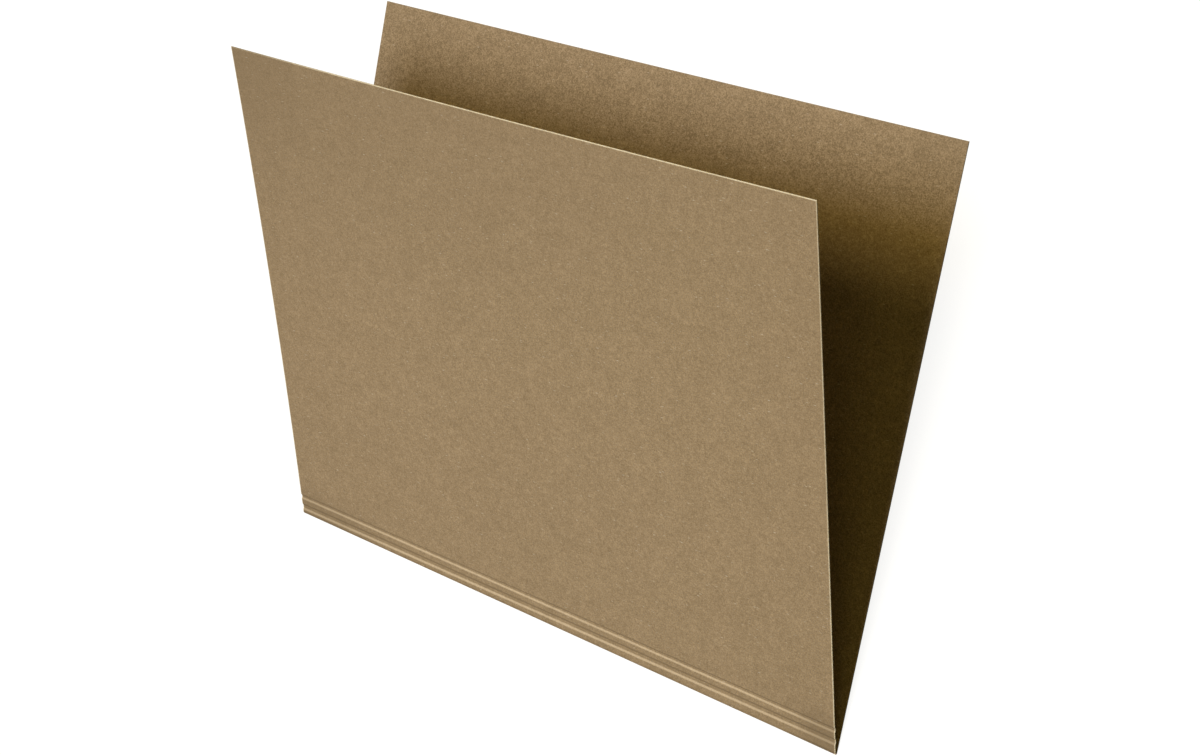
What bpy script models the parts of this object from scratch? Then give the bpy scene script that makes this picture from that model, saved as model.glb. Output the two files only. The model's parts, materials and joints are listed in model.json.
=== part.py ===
from math import pi, radians

import bpy

# Card file folder: one sheet of kraft card folded along its long side.
# It lies on its back cover with the front cover raised. Metres, +Z up.
# The fold runs along X and the covers open towards +Y.

# The sheet
FOLD_LENGTH = 0.320
BACK_DEPTH = 0.245
FRONT_DEPTH = 0.235
CARD_THICKNESS = 0.00045
OPEN_ANGLE = radians(21.8)

# The gap left between the covers when the folder is pressed shut
SHUT_GAP = 0.0003

# The two pressed lines on the front cover: where each lies from the folded edge, how wide it is
# across its top, how wide its flat bottom is, and how deep it is pressed
LOWER_SCORE_AT = 0.0050
LOWER_SCORE_WIDTH = 0.0024
LOWER_SCORE_FLAT = 0.0006
LOWER_SCORE_DEPTH = 0.00030
UPPER_SCORE_AT = 0.0106
UPPER_SCORE_WIDTH = 0.0019
UPPER_SCORE_FLAT = 0.0005
UPPER_SCORE_DEPTH = 0.00030

# Clear space between neighbouring pieces
CLEARANCE = 0.0003

FOLD_SIDES = 48

# The fold's axis lies half the shut gap inside each cover, and the turn of card is tangent to both
# outer faces.
INNER_OFFSET = SHUT_GAP / 2
FOLD_RADIUS = INNER_OFFSET + CARD_THICKNESS
FOLD_Y = FOLD_RADIUS - BACK_DEPTH / 2
FOLD_Z = FOLD_RADIUS
PANEL_START = FOLD_RADIUS + CLEARANCE

# Distances along the card from the fold's axis
LOWER_SCORE_Y = LOWER_SCORE_AT - FOLD_RADIUS
UPPER_SCORE_Y = UPPER_SCORE_AT - FOLD_RADIUS
SCORE_PITCH = UPPER_SCORE_Y - LOWER_SCORE_Y
BACK_END = BACK_DEPTH - FOLD_RADIUS
FRONT_END = FRONT_DEPTH - FOLD_RADIUS
LOWER_SCORE_REACH = LOWER_SCORE_WIDTH / 2 + CLEARANCE
UPPER_SCORE_REACH = UPPER_SCORE_WIDTH / 2 + CLEARANCE

# The card bends about the middle of its thickness at a pressed line
HALF_CARD = CARD_THICKNESS / 2
SCORE_AXIS_Z = INNER_OFFSET + HALF_CARD

# Card colours, and how rough each surface is: pressed and folded card is a little lighter and smoother
BACK_CARD = ((0.290, 0.210, 0.110), 0.85)
FRONT_CARD = ((0.305, 0.223, 0.119), 0.85)
STRIP_CARD = ((0.300, 0.219, 0.117), 0.85)
SCORE_CARD = ((0.330, 0.245, 0.135), 0.70)
FOLD_CARD = ((0.320, 0.235, 0.128), 0.75)


def new_collection(name):
    collection = bpy.data.collections.new(name)
    bpy.context.scene.collection.children.link(collection)
    return collection


def card_material(name, card):
    colour, roughness = card
    material = bpy.data.materials.new(name)
    material.use_nodes = True
    shader = material.node_tree.nodes["Principled BSDF"]
    shader.inputs["Base Color"].default_value = (*colour, 1.0)
    shader.inputs["Roughness"].default_value = roughness
    shader.inputs["Metallic"].default_value = 0.0
    material.diffuse_color = (*colour, 1.0)
    return material


# Gives a piece its name, its own material, its collection and the axis it hangs on
def place(obj, name, collection, axis, card):
    obj.name = name
    obj.data.name = name
    for owner in list(obj.users_collection):
        owner.objects.unlink(obj)
    collection.objects.link(obj)
    obj.parent = axis
    obj.data.materials.append(card_material(f"{name}_card", card))


def hinge_axis(name, collection, parent, location, turn):
    axis = bpy.data.objects.new(name, None)
    axis.empty_display_size = PANEL_START
    collection.objects.link(axis)
    axis.parent = parent
    axis.location = location
    axis.rotation_euler = (turn, 0.0, 0.0)
    return axis


# A flat panel of card, from start to end along its axis's Y, with its lower face at face_z
def card_panel(name, collection, axis, start, end, face_z, card):
    bpy.ops.mesh.primitive_cube_add(size=1.0)
    panel = bpy.context.object
    panel.scale = (FOLD_LENGTH, end - start, CARD_THICKNESS)
    bpy.ops.object.transform_apply(location=False, rotation=False, scale=True)
    panel.location = (0.0, (start + end) / 2, face_z + HALF_CARD)
    place(panel, name, collection, axis, card)


# Card pressed inwards along a line: a trough on the outer face and the same ridge on the inner one
def pressed_line(name, collection, axis, middle, width, flat, depth, card):
    section = (
        (-width / 2, -HALF_CARD),
        (-flat / 2, -HALF_CARD - depth),
        (flat / 2, -HALF_CARD - depth),
        (width / 2, -HALF_CARD),
        (width / 2, HALF_CARD),
        (flat / 2, HALF_CARD - depth),
        (-flat / 2, HALF_CARD - depth),
        (-width / 2, HALF_CARD),
    )
    curve = bpy.data.curves.new(name, "CURVE")
    curve.dimensions = "2D"
    curve.fill_mode = "BOTH"
    curve.extrude = FOLD_LENGTH / 2
    outline = curve.splines.new("POLY")
    outline.points.add(len(section) - 1)
    for point, (along, out) in zip(outline.points, section):
        point.co = (along, out, 0.0, 1.0)
    outline.use_cyclic_u = True
    line = bpy.data.objects.new(name, curve)
    # The section's own X runs along the card and its Y out of it.
    line.rotation_euler = (pi / 2, 0.0, pi / 2)
    line.location = middle
    place(line, name, collection, axis, card)


# The rounded turn of card, along the fold's axis
def fold_turn(name, collection, axis, card):
    bpy.ops.mesh.primitive_cylinder_add(
        vertices=FOLD_SIDES,
        radius=FOLD_RADIUS,
        depth=FOLD_LENGTH,
        rotation=(0.0, pi / 2, 0.0),
    )
    turn = bpy.context.object
    bpy.ops.object.transform_apply(location=False, rotation=True, scale=False)
    bpy.ops.object.shade_smooth_by_angle(angle=radians(40))
    place(turn, name, collection, axis, card)


def build():
    for obj in list(bpy.data.objects):
        bpy.data.objects.remove(obj, do_unlink=True)
    folder = new_collection("card_file_folder")

    # The axes that the card bends about: the fold, then each pressed line on the card before it
    fold_at = (0.0, FOLD_Y, FOLD_Z)
    lower_at = (0.0, LOWER_SCORE_Y, SCORE_AXIS_Z)
    upper_at = (0.0, SCORE_PITCH, 0.0)
    back_axis = hinge_axis("back_axis", folder, None, fold_at, 0.0)
    fold_axis = hinge_axis("fold_axis", folder, None, fold_at, OPEN_ANGLE)
    lower_axis = hinge_axis("lower_score_axis", folder, fold_axis, lower_at, 0.0)
    upper_axis = hinge_axis("upper_score_axis", folder, lower_axis, upper_at, 0.0)

    # The back cover and the turn of card at the fold
    card_panel("back_cover", folder, back_axis, PANEL_START, BACK_END, -FOLD_RADIUS, BACK_CARD)
    fold_turn("fold_crease", folder, back_axis, FOLD_CARD)

    # The strip beside the fold, and the pressed line at its far side
    lower_end = LOWER_SCORE_Y - LOWER_SCORE_REACH
    card_panel(
        "lower_spine_strip", folder, fold_axis, PANEL_START, lower_end, INNER_OFFSET, STRIP_CARD
    )
    pressed_line(
        "lower_score",
        folder,
        fold_axis,
        lower_at,
        LOWER_SCORE_WIDTH,
        LOWER_SCORE_FLAT,
        LOWER_SCORE_DEPTH,
        SCORE_CARD,
    )

    # The strip between the pressed lines, and the second line
    upper_end = SCORE_PITCH - UPPER_SCORE_REACH
    card_panel(
        "upper_spine_strip", folder, lower_axis, LOWER_SCORE_REACH, upper_end, -HALF_CARD, STRIP_CARD
    )
    pressed_line(
        "upper_score",
        folder,
        lower_axis,
        upper_at,
        UPPER_SCORE_WIDTH,
        UPPER_SCORE_FLAT,
        UPPER_SCORE_DEPTH,
        SCORE_CARD,
    )

    # The front cover, from the second line to its free edge
    front_end = FRONT_END - UPPER_SCORE_Y
    card_panel(
        "front_cover", folder, upper_axis, UPPER_SCORE_REACH, front_end, -HALF_CARD, FRONT_CARD
    )


build()
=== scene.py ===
import json
from math import atan2, cos, pi, radians, sin

import bmesh
import bpy
from mathutils import Matrix, Vector


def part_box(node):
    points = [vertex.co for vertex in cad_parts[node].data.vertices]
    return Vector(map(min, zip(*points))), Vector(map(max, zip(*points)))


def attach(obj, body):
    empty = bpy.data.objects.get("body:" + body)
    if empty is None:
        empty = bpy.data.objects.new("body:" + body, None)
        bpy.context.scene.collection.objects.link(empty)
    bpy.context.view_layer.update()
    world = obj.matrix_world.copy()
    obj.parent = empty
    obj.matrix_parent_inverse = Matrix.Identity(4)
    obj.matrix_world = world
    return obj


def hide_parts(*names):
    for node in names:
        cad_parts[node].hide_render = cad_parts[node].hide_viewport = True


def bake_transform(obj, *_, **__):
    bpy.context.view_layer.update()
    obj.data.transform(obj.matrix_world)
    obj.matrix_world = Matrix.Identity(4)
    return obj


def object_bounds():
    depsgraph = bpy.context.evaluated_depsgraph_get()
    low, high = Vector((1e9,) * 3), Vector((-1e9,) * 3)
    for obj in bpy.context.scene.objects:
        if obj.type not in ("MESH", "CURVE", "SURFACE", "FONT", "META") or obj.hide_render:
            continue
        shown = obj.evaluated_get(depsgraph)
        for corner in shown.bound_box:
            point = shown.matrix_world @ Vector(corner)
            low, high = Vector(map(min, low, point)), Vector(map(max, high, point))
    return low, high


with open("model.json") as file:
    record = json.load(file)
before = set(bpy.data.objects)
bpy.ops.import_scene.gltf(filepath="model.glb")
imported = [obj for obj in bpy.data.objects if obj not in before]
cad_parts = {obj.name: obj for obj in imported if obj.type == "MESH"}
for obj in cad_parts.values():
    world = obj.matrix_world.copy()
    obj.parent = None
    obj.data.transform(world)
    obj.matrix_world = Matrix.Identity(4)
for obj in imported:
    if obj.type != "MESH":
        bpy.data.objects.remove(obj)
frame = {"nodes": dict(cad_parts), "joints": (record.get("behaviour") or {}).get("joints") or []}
cadLow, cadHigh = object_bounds()
print("frame loaded:", len(frame["nodes"]), "nodes")

# The card's sizes, read off the frame. Distances along the card are from the fold's axis.
alongFold = Vector((1.0, 0.0, 0.0))
upright = Vector((0.0, 0.0, 1.0))
pivots = {joint["name"]: Vector(joint["pos_m"]) for joint in frame["joints"]}
foldAxis = pivots["fold_opening"]
upCard = (pivots["upper_score_bend"] - pivots["lower_score_bend"]).normalized()
outOfCard = alongFold.cross(upCard)
openAngle = atan2(upCard.z, upCard.y)
lowerScoreAt = (pivots["lower_score_bend"] - foldAxis).dot(upCard)
upperScoreAt = (pivots["upper_score_bend"] - foldAxis).dot(upCard)

backLow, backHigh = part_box("back_cover")
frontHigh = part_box("front_cover")[1]
halfLength = (backHigh.x - backLow.x) / 2
cardThickness = backHigh.z - backLow.z
foldRadius = foldAxis.z - backLow.z
innerOffset = foldRadius - cardThickness
panelStart = backLow.y - foldAxis.y
backEnd = backHigh.y - foldAxis.y
frontEnd = (frontHigh.z - foldAxis.z - foldRadius * cos(openAngle)) / sin(openAngle)

# How the sheet was cut and how it lies
card = {
    "frontSkew": 0.0011,  # the front's free edge runs this far askew of the fold at each end
    "backSkew": 0.0005,  # and the back's the other way
    "grooveSkew": 0.0013,  # so do the pressed lines
    "flare": 0.0007,  # each side of the sheet spreads this far from the fold to the mouth
    "frontHollow": 0.0005,  # the free edges are cut a little hollow
    "backHollow": 0.0002,
    "bowMiddle": 0.00084,  # the front cover sinks in halfway up
    "bowLean": -0.7,  # less towards +X
    "bowCorner": 0.00028,  # and its free corners sink in a little
    "bowTwist": 0.00030,
    "edgeBevel": 0.00006,
    "edgeFull": 0.00009,  # a cut edge's pale rim, partly a painted highlight, is palest this far in
    "edgeBand": 0.00050,  # and its pale rim ends here
    "backEdgePale": 0.02,  # the back's cut edges are hardly paler than its faces
    "sideEdgeDull": 0.30,  # how much of the front's pale rims is lost at their dull ends
    "sideDullSpan": (0.25, 0.6),
    "freeEdgeDull": 0.75,
    "freeDullSpan": (0.45, 1.0),
    "cornerAngle": 80.0,  # degrees: edges as sharp as this are cut corners
    "sharpAngle": 35.0,
}
tiny = 1e-6


def smoothStep(low, high, value):
    share = min(max((value - low) / (high - low), 0.0), 1.0)
    return share * share * (3.0 - 2.0 * share)


# The kraft's grain: mottled pulp, crossing fibres and sparse flecks
grain = {
    "mottle": ((1700.0, 1.24), (620.0, 0.60), (210.0, 0.32), (60.0, 0.16)),  # per metre, weight
    "mottleNoise": {"Detail": 1.0, "Roughness": 0.7},
    "middleTone": 0.5,
    "tonePower": 1.5,  # more of the pulp is dark than pale
    "fibreSize": (0.0034, 0.00034, 0.00034),
    "fibreNoise": {"Scale": 1.0, "Detail": 1.0},
    "fibreHeight": 0.35,
    "fibreTurns": (8.0, 68.0, -52.0),
    "fibreRange": (0.65, 0.77),
    "fleckScale": (130.0, 700.0, 700.0),
    "fleckTurns": (35.0, -40.0),
    "fleckRange": (0.12, 0.04),
    "speckScale": (120.0, 120.0, 120.0),
    "speckTurns": (0.0,),
    "speckRange": (0.05, 0.015),
}
tintBreakup = {"byTone": 0.6, "even": 0.62}


def addNode(tree, kind, settings=None, values=None):
    node = tree.nodes.new(kind)
    for key, value in (settings or {}).items():
        setattr(node, key, value)
    for key, value in (values or {}).items():
        node.inputs[key].default_value = value
    return node


def addMath(tree, operation, first, second):
    node = addNode(tree, "ShaderNodeMath", {"operation": operation})
    for socket, value in zip(node.inputs, (first, second)):
        if isinstance(value, (int, float)):
            socket.default_value = value
        else:
            tree.links.new(value, socket)
    return node.outputs["Value"]


def addRange(tree, value, limits):
    node = addNode(
        tree,
        "ShaderNodeMapRange",
        {"interpolation_type": "SMOOTHSTEP"},
        {"From Min": limits[0], "From Max": limits[1]},
    )
    tree.links.new(value, node.inputs["Value"])
    return node.outputs["Result"]


# The Mix node has a set of sockets for each kind of data, so its colour sockets go by number
def addMix(tree, factor, first, second):
    node = addNode(tree, "ShaderNodeMix", {"data_type": "RGBA"})
    for number, value in ((0, factor), (6, first), (7, second)):
        if isinstance(value, tuple):
            node.inputs[number].default_value = value
        else:
            tree.links.new(value, node.inputs[number])
    return node.outputs[2]


def newGroup(name, inputs, outputs):
    group = bpy.data.node_groups.new(name, "ShaderNodeTree")
    for direction, sockets in (("INPUT", inputs), ("OUTPUT", outputs)):
        for socketName, kind in sockets.items():
            socketType = "NodeSocket" + kind
            group.interface.new_socket(name=socketName, in_out=direction, socket_type=socketType)
    return group, group.nodes.new("NodeGroupInput"), group.nodes.new("NodeGroupOutput")


def buildGrainGroup():
    marksOut = ("Tone", "Fibres", "Flecks", "Specks", "Height")
    outputs = {name: "Float" for name in marksOut}
    group, start, end = newGroup("kraftGrain", {"Vector": "Vector"}, outputs)
    place = start.outputs["Vector"]

    # Mottled pulp, from fine to cloudy
    tone = grain["middleTone"]
    finest = None
    for scale, weight in grain["mottle"]:
        noise = addNode(group, "ShaderNodeTexNoise", None, grain["mottleNoise"] | {"Scale": scale})
        group.links.new(place, noise.inputs["Vector"])
        centred = addMath(group, "SUBTRACT", noise.outputs[0], grain["middleTone"])
        tone = addMath(group, "ADD", addMath(group, "MULTIPLY", centred, weight), tone)
        finest = finest or noise.outputs[0]
    tone = addMath(group, "POWER", addMath(group, "MAXIMUM", tone, 0.0), grain["tonePower"])

    # Long thin fibres lying several ways
    fibres = 0.0
    for turn in grain["fibreTurns"]:
        mapping = addNode(
            group,
            "ShaderNodeMapping",
            {"vector_type": "TEXTURE"},
            {"Rotation": (0.0, 0.0, radians(turn)), "Scale": grain["fibreSize"]},
        )
        group.links.new(place, mapping.inputs["Vector"])
        noise = addNode(group, "ShaderNodeTexNoise", None, grain["fibreNoise"])
        group.links.new(mapping.outputs[0], noise.inputs["Vector"])
        strand = addRange(group, noise.outputs[0], grain["fibreRange"])
        fibres = addMath(group, "MAXIMUM", strand, fibres)

    # Short pale flecks and round dark specks, each of its own strength
    marks = []
    for kind in ("fleck", "speck"):
        mark = 0.0
        for turn in grain[kind + "Turns"]:
            mapping = addNode(
                group,
                "ShaderNodeMapping",
                None,
                {"Rotation": (0.0, 0.0, radians(turn)), "Scale": grain[kind + "Scale"]},
            )
            group.links.new(place, mapping.inputs["Vector"])
            cells = addNode(group, "ShaderNodeTexVoronoi", None, {"Scale": 1.0})
            group.links.new(mapping.outputs[0], cells.inputs["Vector"])
            spot = addRange(group, cells.outputs["Distance"], grain[kind + "Range"])
            strength = addNode(group, "ShaderNodeSeparateColor")
            group.links.new(cells.outputs["Color"], strength.inputs[0])
            spot = addMath(group, "MULTIPLY", spot, strength.outputs[0])
            mark = addMath(group, "MAXIMUM", spot, mark)
        marks.append(mark)

    height = addMath(group, "ADD", finest, addMath(group, "MULTIPLY", fibres, grain["fibreHeight"]))
    for name, value in zip(marksOut, (tone, fibres, *marks, height)):
        group.links.new(value, end.inputs[name])
    return group


# Each tint, of wear and of painted light, takes the pulp's tone unevenly, so its margin is broken up
def buildTintGroup():
    group, start, end = newGroup(
        "wearAndLightTint",
        {"Colour": "Color", "Tint": "Color", "Mask": "Float", "Tone": "Float"},
        {"Colour": "Color"},
    )
    uneven = addMath(group, "MULTIPLY", start.outputs["Tone"], tintBreakup["byTone"])
    uneven = addMath(group, "ADD", uneven, tintBreakup["even"])
    share = addMath(group, "MULTIPLY", start.outputs["Mask"], uneven)
    share = addMath(group, "MINIMUM", share, 1.0)
    mixed = addMix(group, share, start.outputs["Colour"], start.outputs["Tint"])
    group.links.new(mixed, end.inputs["Colour"])
    return group


# One finish for each kind of card surface, with its tints: wear that folding and pressing bring up, and
# painted light
plainKraft = (0.328, 0.231, 0.1275)
finishes = {
    "back_card": {"colour": plainKraft, "tints": {}},
    "front_card": {"colour": plainKraft, "tints": {}},
    "strip_card": {"colour": plainKraft, "tints": {}},
    "score_card": {
        "colour": plainKraft,
        # each groove's lower wall is paler, wear with a painted highlight, and its upper wall darker,
        # painted shade
        "tints": {"wearAndPaintedLight": (0.60, 0.465, 0.30), "pressAndShade": (0.268, 0.185, 0.098)},
    },
    # The turn's card is darker all over, painted shade where it curves away from the light; its wear is a
    # little paler
    "fold_card": {"colour": (0.290, 0.201, 0.108), "tints": {"wearAndPaintedLight": (0.30, 0.212, 0.118)}},
}
finishShared = {
    "darkTone": (-0.265, -0.276, -0.306),  # how far the pulp's dark and pale parts are from its colour
    "paleTone": (0.475, 0.498, 0.565),
    "contrasts": (1.0, 1.5),  # the sheet's outer side, and its coarser inner side
    "marks": {  # colour and strength
        "Fibres": ((0.43, 0.325, 0.20), 0.40),
        "Flecks": ((0.66, 0.56, 0.42), 0.85),
        "Specks": ((0.15, 0.095, 0.045), 0.5),
    },
    # pale cut fibres, made paler still as a painted highlight where light catches the edges
    "cutEdgeAndHighlight": (0.94, 0.81, 0.57),
    "shadeShare": 0.5,  # painted shade darkens the card to this share of its colour
    "specular": 0.06,
    "roughness": (0.82, 0.94),
    "bumpStrength": 0.6,
    "bumpDistance": 0.00010,
}
grainGroup = buildGrainGroup()
tintGroup = buildTintGroup()


def opaque(colour):
    return (*colour, 1.0)


# A colour with each of its parts moved by its own step
def stepped(colour, steps, contrast):
    return opaque(part * (1.0 + contrast * step) for part, step in zip(colour, steps))


def cardMaterial(slot):
    finish = finishes[slot]
    material = bpy.data.materials.new(slot + "Kraft")
    material.use_nodes = True
    tree = material.node_tree
    shader = tree.nodes["Principled BSDF"]
    shader.inputs["Specular IOR Level"].default_value = finishShared["specular"]
    place = addNode(tree, "ShaderNodeTexCoord")
    pulp = addNode(tree, "ShaderNodeGroup", {"node_tree": grainGroup})
    tree.links.new(place.outputs["Object"], pulp.inputs["Vector"])

    # The pulp's own colour, darker and paler with its tone, and the marks in it
    inner = addNode(tree, "ShaderNodeAttribute", {"attribute_name": "innerSide"})
    tones = []
    for steps in (finishShared["darkTone"], finishShared["paleTone"]):
        sides = [stepped(finish["colour"], steps, contrast) for contrast in finishShared["contrasts"]]
        tones.append(addMix(tree, inner.outputs["Fac"], *sides))
    colour = addMix(tree, pulp.outputs["Tone"], *tones)
    for name, (tint, strength) in finishShared["marks"].items():
        mask = addMath(tree, "MULTIPLY", pulp.outputs[name], strength)
        colour = addMix(tree, mask, colour, opaque(tint))

    # Tints: pressing and folding bring up other fibres, with a painted highlight on each groove's lower
    # wall and painted shade on its upper wall; painted shade darkens the card where less light falls; and
    # its cut edges stay pale, partly a painted highlight
    tints = dict(finish["tints"])
    tints["paintedShade"] = tuple(part * finishShared["shadeShare"] for part in finish["colour"])
    tints["cutEdgeAndHighlight"] = finishShared["cutEdgeAndHighlight"]
    for name, tint in tints.items():
        mask = addNode(tree, "ShaderNodeAttribute", {"attribute_name": name})
        wearAndPaintedLight = addNode(tree, "ShaderNodeGroup", {"node_tree": tintGroup}, {"Tint": opaque(tint)})
        tree.links.new(colour, wearAndPaintedLight.inputs["Colour"])
        tree.links.new(mask.outputs["Fac"], wearAndPaintedLight.inputs["Mask"])
        tree.links.new(pulp.outputs["Tone"], wearAndPaintedLight.inputs["Tone"])
        colour = wearAndPaintedLight.outputs["Colour"]
    tree.links.new(colour, shader.inputs["Base Color"])

    low, high = finishShared["roughness"]
    rough = addMath(tree, "MULTIPLY", pulp.outputs["Tone"], high - low)
    tree.links.new(addMath(tree, "ADD", rough, low), shader.inputs["Roughness"])
    bump = addNode(
        tree,
        "ShaderNodeBump",
        None,
        {"Strength": finishShared["bumpStrength"], "Distance": finishShared["bumpDistance"]},
    )
    tree.links.new(pulp.outputs["Height"], bump.inputs["Height"])
    tree.links.new(bump.outputs["Normal"], shader.inputs["Normal"])
    return material


kraft = {slot: cardMaterial(slot) for slot in finishes}
print("kraft materials made:", len(kraft))


# A flat rectangle of card in its own plane: x along the fold, y away from it, z out of it.
# Its ends at x, and its far end if that is a free edge, are cut edges.
def flatCard(piece, start, end, tintMasks):
    bm = bmesh.new()
    bmesh.ops.create_grid(bm, x_segments=piece["acrossCuts"], y_segments=piece["alongCuts"], size=0.5)
    bmesh.ops.scale(bm, vec=(halfLength * 2.0, end - start, 1.0), verts=bm.verts[:])
    bmesh.ops.translate(bm, vec=(0.0, (start + end) / 2, 0.0), verts=bm.verts[:])

    # A narrow band along each cut edge carries the pale rim: pale fibres with a painted highlight
    band = card["edgeBand"]
    planes = [((side * (halfLength - band), 0.0, 0.0), (1.0, 0.0, 0.0)) for side in (-1.0, 1.0)]
    if piece["freeEdge"]:
        planes.append(((0.0, end - band, 0.0), (0.0, 1.0, 0.0)))
    for point, normal in planes:
        geom = bm.verts[:] + bm.edges[:] + bm.faces[:]
        bmesh.ops.bisect_plane(bm, geom=geom, plane_co=point, plane_no=normal)

    bmesh.ops.solidify(bm, geom=bm.faces[:], thickness=cardThickness)
    lowest = min(vert.co.z for vert in bm.verts)
    bmesh.ops.translate(bm, vec=(0.0, 0.0, -lowest), verts=bm.verts[:])
    bmesh.ops.recalc_face_normals(bm, faces=bm.faces[:])

    def cutCorner(edge):
        middle = (edge.verts[0].co + edge.verts[1].co) / 2
        onSide = abs(abs(middle.x) - halfLength) < tiny
        onFree = piece["freeEdge"] and abs(middle.y - end) < tiny
        onSeam = abs(middle.y - start) < tiny or (not piece["freeEdge"] and abs(middle.y - end) < tiny)
        sharp = edge.calc_face_angle(0.0) > radians(card["cornerAngle"])
        return sharp and (onSide or onFree) and not onSeam

    bmesh.ops.bevel(
        bm,
        geom=[edge for edge in bm.edges if cutCorner(edge)],
        offset=card["edgeBevel"],
        offset_type="OFFSET",
        affect="EDGES",
        segments=2,
        profile=0.5,
        material=-1,
    )

    def rim(reach):
        return 1.0 - smoothStep(card["edgeFull"], band - tiny, reach)

    # The pale rim is partly a painted highlight where light catches the cut edge
    def cutEdgeAndHighlight(x, y):
        pale = piece["paleSide"](y) * rim(halfLength - abs(x))
        if piece["freeEdge"]:
            pale = max(pale, piece["paleFree"](x) * rim(end - y))
        return pale

    # Masks for the material: wear, painted shade and painted highlights by place, and which side of the
    # sheet a point is on
    for name, share in ({"cutEdgeAndHighlight": cutEdgeAndHighlight} | tintMasks).items():
        layer = bm.verts.layers.float.new(name)
        for vert in bm.verts:
            vert[layer] = share(vert.co.x, vert.co.y)
    layer = bm.verts.layers.float.new("innerSide")
    for vert in bm.verts:
        up = vert.co.z / cardThickness
        vert[layer] = up if piece["innerUp"] else 1.0 - up
    return bm


# Painted shade, darker where less light falls: towards the mouth, most at a corner of each cover, towards
# the covers' ends, and at the ends of the fold and on its turn. Each place has a strength and a span over
# which it comes in, as a share of the cover's size.
shadePlaces = {
    "side": 0.06,
    "sideSpan": (0.6, 1.0),
    "mouth": 0.19,
    "mouthLean": 0.10,  # more towards -X
    "mouthSpan": (0.45, 1.0),
    "corner": 0.12,
    "cornerSpans": ((0.6, 1.0), (0.8, 1.0)),  # along the free edge, and up the cover
    "backMouth": 0.12,
    "backMouthSpan": (0.92, 0.97),
    "backCorner": 0.12,
    "backCornerSpans": ((0.8, 1.0), (0.9, 1.0)),
    "foldLeft": 0.28,
    "foldLeftSpan": (0.5, 0.9),
    "foldRight": 0.44,
    "foldRightSpan": (0.84, 0.95),
    "foldReach": (0.008, 0.02),  # metres up the card
    "foldAll": 0.06,  # on the turn of card itself
    "foldMore": 1.4,
}


def paintedShadeSide(side):
    return shadePlaces["side"] * smoothStep(*shadePlaces["sideSpan"], abs(side))


def paintedShadeCorner(strength, spans, side, share):
    return strength * smoothStep(*spans[0], side) * smoothStep(*spans[1], share)


def frontPaintedShade(x, along):
    side = x / halfLength
    share = along / frontEnd
    mouth = smoothStep(*shadePlaces["mouthSpan"], share) * (shadePlaces["mouth"] - shadePlaces["mouthLean"] * side)
    corner = paintedShadeCorner(shadePlaces["corner"], shadePlaces["cornerSpans"], -side, share)
    ends = shadePlaces["foldLeft"] * smoothStep(*shadePlaces["foldLeftSpan"], -side)
    ends += shadePlaces["foldRight"] * smoothStep(*shadePlaces["foldRightSpan"], side)
    nearFold = 1.0 - smoothStep(*shadePlaces["foldReach"], along)
    return mouth + corner + ends * nearFold + paintedShadeSide(side)


def backPaintedShade(x, along):
    side = x / halfLength
    share = along / backEnd
    mouth = shadePlaces["backMouth"] * smoothStep(*shadePlaces["backMouthSpan"], share)
    corner = paintedShadeCorner(shadePlaces["backCorner"], shadePlaces["backCornerSpans"], side, share)
    return mouth + corner + paintedShadeSide(side)


# How far up the front's card a point is, from 0 at the fold to 1 at the free edge
def frontShare(along):
    return (along - panelStart) / (frontEnd - panelStart)


def flared(x, share):
    return x * (1.0 + card["flare"] / halfLength * (share - 0.5))


# How far the front's card stands out from its flat plane
def frontBow(x, along):
    side = x / halfLength
    share = frontShare(along)
    sunk = 4.0 * share * (1.0 - share) * card["bowMiddle"] * (1.0 + card["bowLean"] * side)
    return (card["bowTwist"] * side - card["bowCorner"] * side * side) * share - sunk


# Lays a flat piece along the raised card. Its last argument gives how far the card is pressed in.
def raiseCard(bm, skewAt, pressAndShade):
    for vert in bm.verts:
        x, y, z = vert.co
        side = x / halfLength
        share = frontShare(y)
        along = y + skewAt(y) * side + card["frontHollow"] * (side * share) ** 2
        out = innerOffset + z + frontBow(x, along) - pressAndShade(y)
        vert.co = foldAxis + upCard * along + outOfCard * out
        vert.co.x = flared(x, share)


def finishPiece(piece, bm):
    for face in bm.faces:
        face.smooth = True
    mesh = bpy.data.meshes.new(piece["name"])
    bm.to_mesh(mesh)
    bm.free()
    mesh.set_sharp_from_angle(angle=radians(card["sharpAngle"]))
    obj = bpy.data.objects.new(piece["name"], mesh)
    bpy.context.scene.collection.objects.link(obj)
    mesh.materials.append(kraft[piece["slot"]])
    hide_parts(piece["node"])
    print(piece["name"], "made:", len(mesh.polygons), "faces")
    return obj


# How pale the cut edges are, as pale fibres and a painted highlight: the turn of card runs from the back's
# to the front's, the front's sides are duller towards the mouth, and its free edge is duller towards -X
def backPale(place):
    return card["backEdgePale"]


def turnPale(y):
    return card["backEdgePale"] + (1.0 - card["backEdgePale"]) * smoothStep(-panelStart, panelStart, y)


def frontSidePale(y):
    return 1.0 - card["sideEdgeDull"] * smoothStep(*card["sideDullSpan"], y / frontEnd)


def frontFreePale(x):
    return 1.0 - card["freeEdgeDull"] * smoothStep(*card["freeDullSpan"], -x / halfLength)


# The back cover lies flat, and its free edge runs a little askew of the fold.
backSheet = {
    "name": "backSheet",
    "node": "back_cover",
    "slot": "back_card",
    "innerUp": True,
    "acrossCuts": 96,
    "alongCuts": 72,
    "freeEdge": True,
    "paleSide": backPale,
    "paleFree": backPale,
}


def buildBackSheet():
    bm = flatCard(backSheet, panelStart, backEnd, {"paintedShade": backPaintedShade})
    for vert in bm.verts:
        x, y, z = vert.co
        side = x / halfLength
        share = (y - panelStart) / (backEnd - panelStart)
        along = y - card["backSkew"] * side * smoothStep(0.0, 1.0, share)
        along += card["backHollow"] * (side * share) ** 2
        vert.co = Vector((flared(x, share), foldAxis.y + along, backLow.z + z))
    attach(finishPiece(backSheet, bm), "back")


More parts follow.
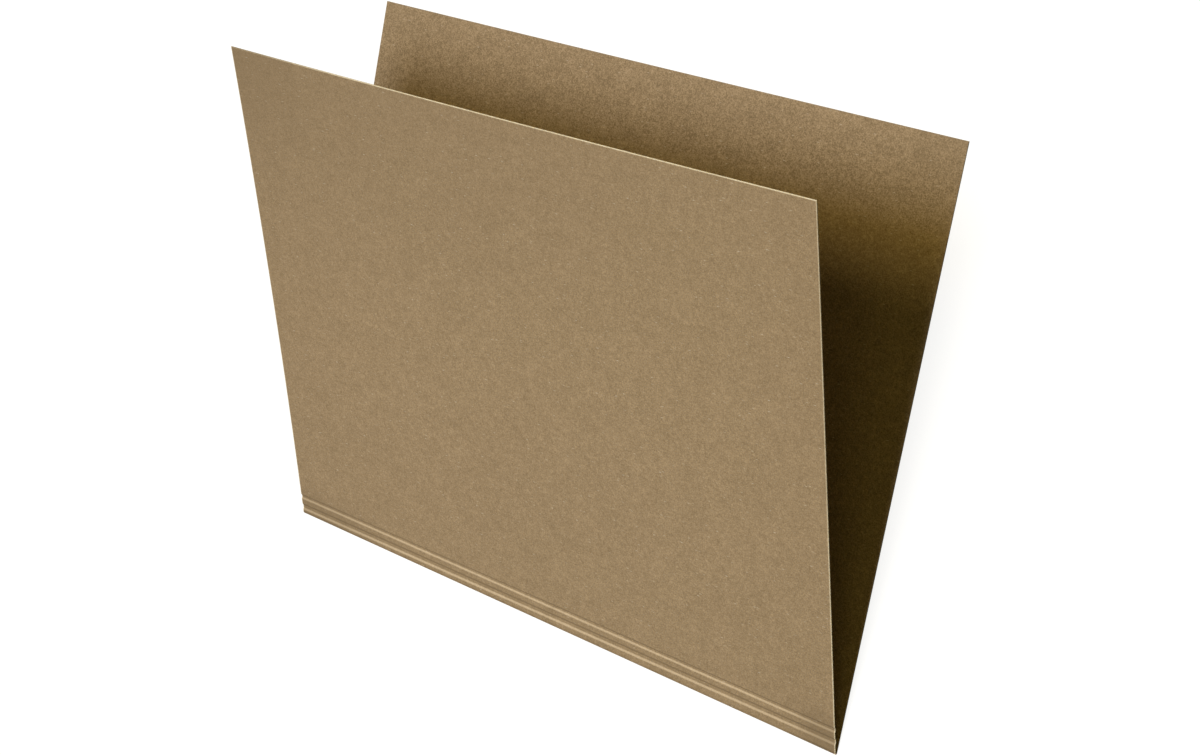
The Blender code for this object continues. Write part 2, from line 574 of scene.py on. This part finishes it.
# The turn of card at the fold, with a short flat tail on each cover
foldTurn = {
    "name": "foldTurn",
    "node": "fold_crease",
    "slot": "fold_card",
    "innerUp": False,
    "acrossCuts": 96,
    "alongCuts": 44,
    "freeEdge": False,
    "paleSide": turnPale,
}


def buildFoldTurn():
    turn = pi - openAngle
    arc = turn * foldRadius

    def rubbed(x, y):
        return smoothStep(0.0, arc / 2, arc / 2 - abs(y))

    # Painted shade on the turn where it curves away from the light, more towards the fold's ends
    def paintedShade(x, y):
        return shadePlaces["foldAll"] + shadePlaces["foldMore"] * frontPaintedShade(x, 0.0)

    tintMasks = {"paintedShade": paintedShade, "wearAndPaintedLight": rubbed}
    bm = flatCard(foldTurn, -arc / 2 - panelStart, arc / 2 + panelStart, tintMasks)
    for vert in bm.verts:
        x, y, z = vert.co
        out = innerOffset + z
        bent = min(max(y / arc + 0.5, 0.0), 1.0)
        tail = max(abs(y) - arc / 2, 0.0)
        angle = turn * bent
        radial = Vector((0.0, -sin(angle), -cos(angle)))
        onward = Vector((0.0, -cos(angle), sin(angle)))
        vert.co = foldAxis + radial * out + onward * (tail if y > 0 else -tail)
        vert.co.x = flared(x, 0.0)
    obj = finishPiece(foldTurn, bm)
    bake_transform(obj)


# The two pressed lines. Each sinks on its lower wall and rises again on its upper one, given as
# distances from its middle.
lowerGroove = {
    "name": "lowerGroove",
    "node": "lower_score",
    "slot": "score_card",
    "innerUp": False,
    "acrossCuts": 96,
    "alongCuts": 40,
    "freeEdge": False,
    "paleSide": frontSidePale,
    "middle": lowerScoreAt,
    "reach": (-0.0020, 0.0024),
    "lowerWall": (-0.0019, -0.0006),
    "upperWall": (0.0005, 0.0020),
    "depth": 0.00042,
    "bend": 0.0011,
    "bodies": ("lower_strip", "upper_strip"),
}
upperGroove = {
    "name": "upperGroove",
    "node": "upper_score",
    "slot": "score_card",
    "innerUp": False,
    "acrossCuts": 96,
    "alongCuts": 36,
    "freeEdge": False,
    "paleSide": frontSidePale,
    "middle": upperScoreAt,
    "reach": (-0.0016, 0.0016),
    "lowerWall": (-0.0015, -0.0004),
    "upperWall": (0.0003, 0.0014),
    "depth": 0.00042,
    "bend": 0.0007,
    "bodies": ("upper_strip", "front"),
}


def grooveSpan(groove):
    return groove["middle"] + groove["reach"][0], groove["middle"] + groove["reach"][1]


def buildGroove(groove):
    middle = groove["middle"]

    def sunkBy(y):
        sunk = smoothStep(*groove["lowerWall"], y - middle)
        risen = smoothStep(*groove["upperWall"], y - middle)
        return groove["depth"] * (sunk - risen)

    # Strongest halfway up a wall and gone at its ends
    def onWall(wall):
        def share(x, y):
            part = (y - middle - wall[0]) / (wall[1] - wall[0])
            return max(4.0 * part * (1.0 - part), 0.0)

        return share

    # Wear with a painted highlight on the lower wall, painted shade on the upper wall
    tintMasks = {
        "paintedShade": frontPaintedShade,
        "wearAndPaintedLight": onWall(groove["lowerWall"]),
        "pressAndShade": onWall(groove["upperWall"]),
    }
    bm = flatCard(groove, *grooveSpan(groove), tintMasks)
    raiseCard(bm, lambda y: card["grooveSkew"], sunkBy)
    axis = foldAxis + upCard * middle
    step = upCard * groove["bend"]
    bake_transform(finishPiece(groove, bm), *groove["bodies"], start=axis - step, end=axis + step)


# The plain strips beside the pressed lines
lowerStrip = {
    "name": "lowerStripSheet",
    "node": "lower_spine_strip",
    "slot": "strip_card",
    "innerUp": False,
    "acrossCuts": 96,
    "alongCuts": 6,
    "freeEdge": False,
    "paleSide": frontSidePale,
}
upperStrip = {
    "name": "upperStripSheet",
    "node": "upper_spine_strip",
    "slot": "strip_card",
    "innerUp": False,
    "acrossCuts": 96,
    "alongCuts": 6,
    "freeEdge": False,
    "paleSide": frontSidePale,
}


def flatCourse(y):
    return 0.0


def buildStrips():
    end = grooveSpan(lowerGroove)[0]
    bm = flatCard(lowerStrip, panelStart, end, {"paintedShade": frontPaintedShade})
    raiseCard(bm, lambda y: card["grooveSkew"] * (y - panelStart) / (end - panelStart), flatCourse)
    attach(finishPiece(lowerStrip, bm), "lower_strip")

    span = grooveSpan(lowerGroove)[1], grooveSpan(upperGroove)[0]
    bm = flatCard(upperStrip, *span, {"paintedShade": frontPaintedShade})
    raiseCard(bm, lambda y: card["grooveSkew"], flatCourse)
    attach(finishPiece(upperStrip, bm), "upper_strip")


# The front cover, from the upper pressed line to its free edge
frontSheet = {
    "name": "frontSheet",
    "node": "front_cover",
    "slot": "front_card",
    "innerUp": False,
    "acrossCuts": 96,
    "alongCuts": 72,
    "freeEdge": True,
    "paleSide": frontSidePale,
    "paleFree": frontFreePale,
}


def buildFrontSheet():
    start = grooveSpan(upperGroove)[1]
    bm = flatCard(frontSheet, start, frontEnd, {"paintedShade": frontPaintedShade})

    def skewAt(y):
        share = (y - start) / (frontEnd - start)
        return card["grooveSkew"] + (card["frontSkew"] - card["grooveSkew"]) * share

    raiseCard(bm, skewAt, flatCourse)
    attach(finishPiece(frontSheet, bm), "front")


buildBackSheet()
buildFoldTurn()
buildGroove(lowerGroove)
buildGroove(upperGroove)
buildStrips()
buildFrontSheet()
print("card pieces in place")


# White floor: the camera sees it nearly white, with the folder's shadow left on it
white = (1.0, 1.0, 1.0, 1.0)
stage = {
    "floorHalf": 4.0,
    "floorCuts": 8,
    "floorDrop": 0.0001,
    "floorColour": (0.21, 0.204, 0.184, 1.0),
    "floorGlow": 0.87,
    "fillColour": (1.0, 0.84, 0.26, 1.0),
    "fill": 0.0085,
}


def seenDirectly(tree):
    path = addNode(tree, "ShaderNodeLightPath")
    seen = addMath(tree, "MAXIMUM", path.outputs["Is Camera Ray"], path.outputs["Is Glossy Ray"])
    return addMath(tree, "MAXIMUM", seen, path.outputs["Is Transmission Ray"])


def buildFloor():
    bm = bmesh.new()
    cuts = stage["floorCuts"]
    bmesh.ops.create_grid(bm, x_segments=cuts, y_segments=cuts, size=stage["floorHalf"])
    bmesh.ops.translate(bm, vec=(0.0, 0.0, cadLow.z - stage["floorDrop"]), verts=bm.verts[:])
    mesh = bpy.data.meshes.new("studioFloor")
    bm.to_mesh(mesh)
    bm.free()
    floor = bpy.data.objects.new("studioFloor", mesh)
    bpy.context.scene.collection.objects.link(floor)
    material = bpy.data.materials.new("paleFloor")
    material.use_nodes = True
    tree = material.node_tree
    tree.nodes.clear()
    matt = addNode(tree, "ShaderNodeBsdfDiffuse", None, {"Color": stage["floorColour"]})
    glow = addNode(tree, "ShaderNodeEmission", None, {"Color": white})
    strength = addMath(tree, "MULTIPLY", seenDirectly(tree), stage["floorGlow"])
    tree.links.new(strength, glow.inputs["Strength"])
    both = addNode(tree, "ShaderNodeAddShader")
    tree.links.new(matt.outputs[0], both.inputs[0])
    tree.links.new(glow.outputs[0], both.inputs[1])
    out = addNode(tree, "ShaderNodeOutputMaterial")
    tree.links.new(both.outputs[0], out.inputs["Surface"])
    mesh.materials.append(material)


def buildWorld():
    world = bpy.data.worlds.new("studioWorld")
    bpy.context.scene.world = world
    world.use_nodes = True
    tree = world.node_tree
    tree.nodes.clear()
    fillValues = {"Color": stage["fillColour"], "Strength": stage["fill"]}
    fill = addNode(tree, "ShaderNodeBackground", None, fillValues)
    backdrop = addNode(tree, "ShaderNodeBackground", None, {"Color": white, "Strength": 1.0})
    mix = addNode(tree, "ShaderNodeMixShader")
    tree.links.new(seenDirectly(tree), mix.inputs[0])
    tree.links.new(fill.outputs[0], mix.inputs[1])
    tree.links.new(backdrop.outputs[0], mix.inputs[2])
    out = addNode(tree, "ShaderNodeOutputWorld")
    tree.links.new(mix.outputs[0], out.inputs["Surface"])


# Two broad soft boxes overhead, the one towards the mouth warmer, a dim warm box beyond the +X end that
# reaches in between the covers, and a low reflector that catches the front's free edge
lamps = {
    "softBox": {
        "place": (-0.62, -0.25, 5.0),
        "size": (2.1, 2.5),
        "watts": 187.0,
        "colour": (1.0, 1.058, 1.238),
    },
    "warmBox": {
        "place": (-0.62, 1.50, 4.9),
        "size": (2.1, 1.9),
        "watts": 80.0,
        "colour": (1.0, 0.817, 0.358),
    },
    "mouthReflector": {
        "place": (0.0, 1.5, 0.08),
        "size": (1.4, 0.12),
        "watts": 2.0,
        "colour": (1.0, 0.86, 0.50),
    },
    "sideBox": {
        "place": (0.75, 0.0, 1.05),
        "size": (1.0, 1.0),
        "watts": 1.55,
        "colour": (1.0, 0.88, 0.245),
    },
}
lampAim = Vector((0.0, 0.05, 0.05))
steepLamp = 0.5  # a lamp whose direction rises more than this is levelled along X


# A frame at a place that looks away from back, with its X as near to right as that allows
def facing(place, back, right):
    up = back.cross(right).normalized()
    turned = Matrix((up.cross(back), up, back)).transposed().to_4x4()
    turned.translation = place
    return turned


def buildLamp(name):
    lamp = bpy.data.lights.new(name, "AREA")
    lamp.shape = "ELLIPSE"
    lamp.size, lamp.size_y = lamps[name]["size"]
    lamp.energy = lamps[name]["watts"]
    lamp.color = lamps[name]["colour"]
    obj = bpy.data.objects.new(name, lamp)
    bpy.context.scene.collection.objects.link(obj)
    place = Vector(lamps[name]["place"])
    back = (place - lampAim).normalized()
    level = alongFold if back.z > steepLamp else upright.cross(back)
    obj.matrix_world = facing(place, back, level)
    obj.visible_camera = False


# The photograph was taken with the folder's mouth upwards, so the camera is rolled a quarter turn.
view = {
    "aim": (0.03058, -0.00321, 0.0303),
    "azimuth": 106.933,
    "elevation": 48.980,
    "distance": 0.94869,
    "roll": -92.348,
    "lens": 69.795,
    "sensor": 36.0,
    "nearest": 0.01,
}


def buildCamera():
    azimuth, elevation = radians(view["azimuth"]), radians(view["elevation"])
    back = Vector((sin(azimuth) * cos(elevation), -cos(azimuth) * cos(elevation), sin(elevation)))
    levelRight = (-back).cross(upright).normalized()
    levelUp = levelRight.cross(-back)
    roll = radians(view["roll"])
    right = levelRight * cos(roll) + levelUp * sin(roll)
    lens = bpy.data.cameras.new("photoCamera")
    lens.lens = view["lens"]
    lens.sensor_width = view["sensor"]
    lens.clip_start = view["nearest"]
    camera = bpy.data.objects.new("photoCamera", lens)
    bpy.context.scene.collection.objects.link(camera)
    camera.matrix_world = facing(Vector(view["aim"]) + back * view["distance"], back, right)
    bpy.context.scene.camera = camera


buildFloor()
buildWorld()
for lampName in lamps:
    buildLamp(lampName)
buildCamera()
bpy.context.scene.view_settings.view_transform = "Standard"
print("floor, light and camera set")
